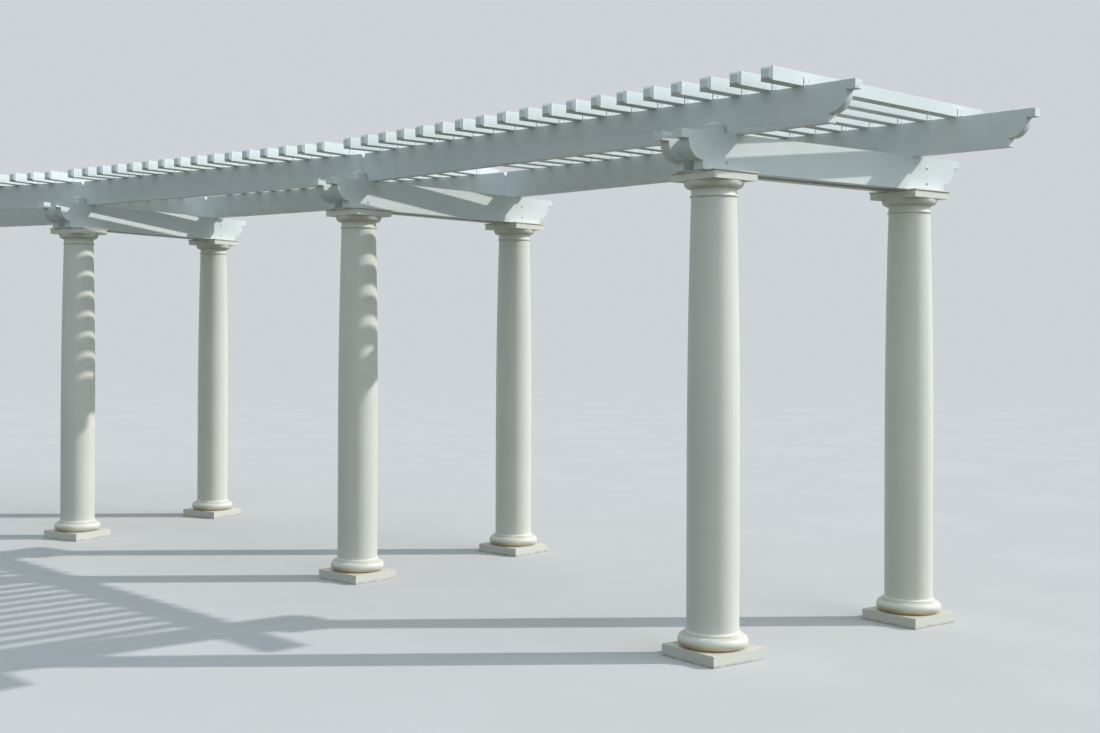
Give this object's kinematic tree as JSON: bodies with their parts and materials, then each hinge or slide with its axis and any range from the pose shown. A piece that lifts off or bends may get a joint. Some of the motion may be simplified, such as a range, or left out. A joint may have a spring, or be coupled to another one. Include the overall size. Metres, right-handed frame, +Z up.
{
  "type": "pergola",
  "caption": "Open garden pergola on an arc: paired round tapered columns carry twin cross boards, long beams with shaped ends and square rafters.",
  "frame": {"origin": "centre of the whole pergola's box in plan, at the level of the plinths' undersides", "axes": "+X along the middle bay, +Y from the inner row of columns towards the outer row, +Z up"},
  "size_m": [12.5778, 3.1612, 3.242],
  "materials": {
    "column": "painted moulded fibreglass, satin",
    "post": "painted",
    "board": "painted, satin",
    "rafter": "painted, satin",
    "cap": "moulded, satin",
    "clip": "painted white"
  },
  "bodies": {
    "root": {"shaft_near_1": "column", "shaft_far_1": "column", "bases_pair_1": "column", "capitals_pair_1": "column", "posts_pair_1": "post", "cross_boards_pair_1": "board", "shaft_near_2": "column", "shaft_far_2": "column", "bases_pair_2": "column", "capitals_pair_2": "column", "posts_pair_2": "post", "cross_boards_pair_2": "board", "shaft_near_3": "column", "shaft_far_3": "column", "bases_pair_3": "column", "capitals_pair_3": "column", "posts_pair_3": "post", "cross_boards_pair_3": "board", "shaft_near_4": "column", "shaft_far_4": "column", "bases_pair_4": "column", "capitals_pair_4": "column", "posts_pair_4": "post", "cross_boards_pair_4": "board", "long_beam_near_bay_1": "board", "long_beam_far_bay_1": "board", "rafters_bay_1": "rafter", "rafter_caps_bay_1": "cap", "rafter_clips_bay_1": "clip", "long_beam_near_bay_2": "board", "long_beam_far_bay_2": "board", "rafters_bay_2": "rafter", "rafter_caps_bay_2": "cap", "rafter_clips_bay_2": "clip", "long_beam_near_bay_3": "board", "long_beam_far_bay_3": "board", "rafters_bay_3": "rafter", "rafter_caps_bay_3": "cap", "rafter_clips_bay_3": "clip"}
  },
  "joints": []
}
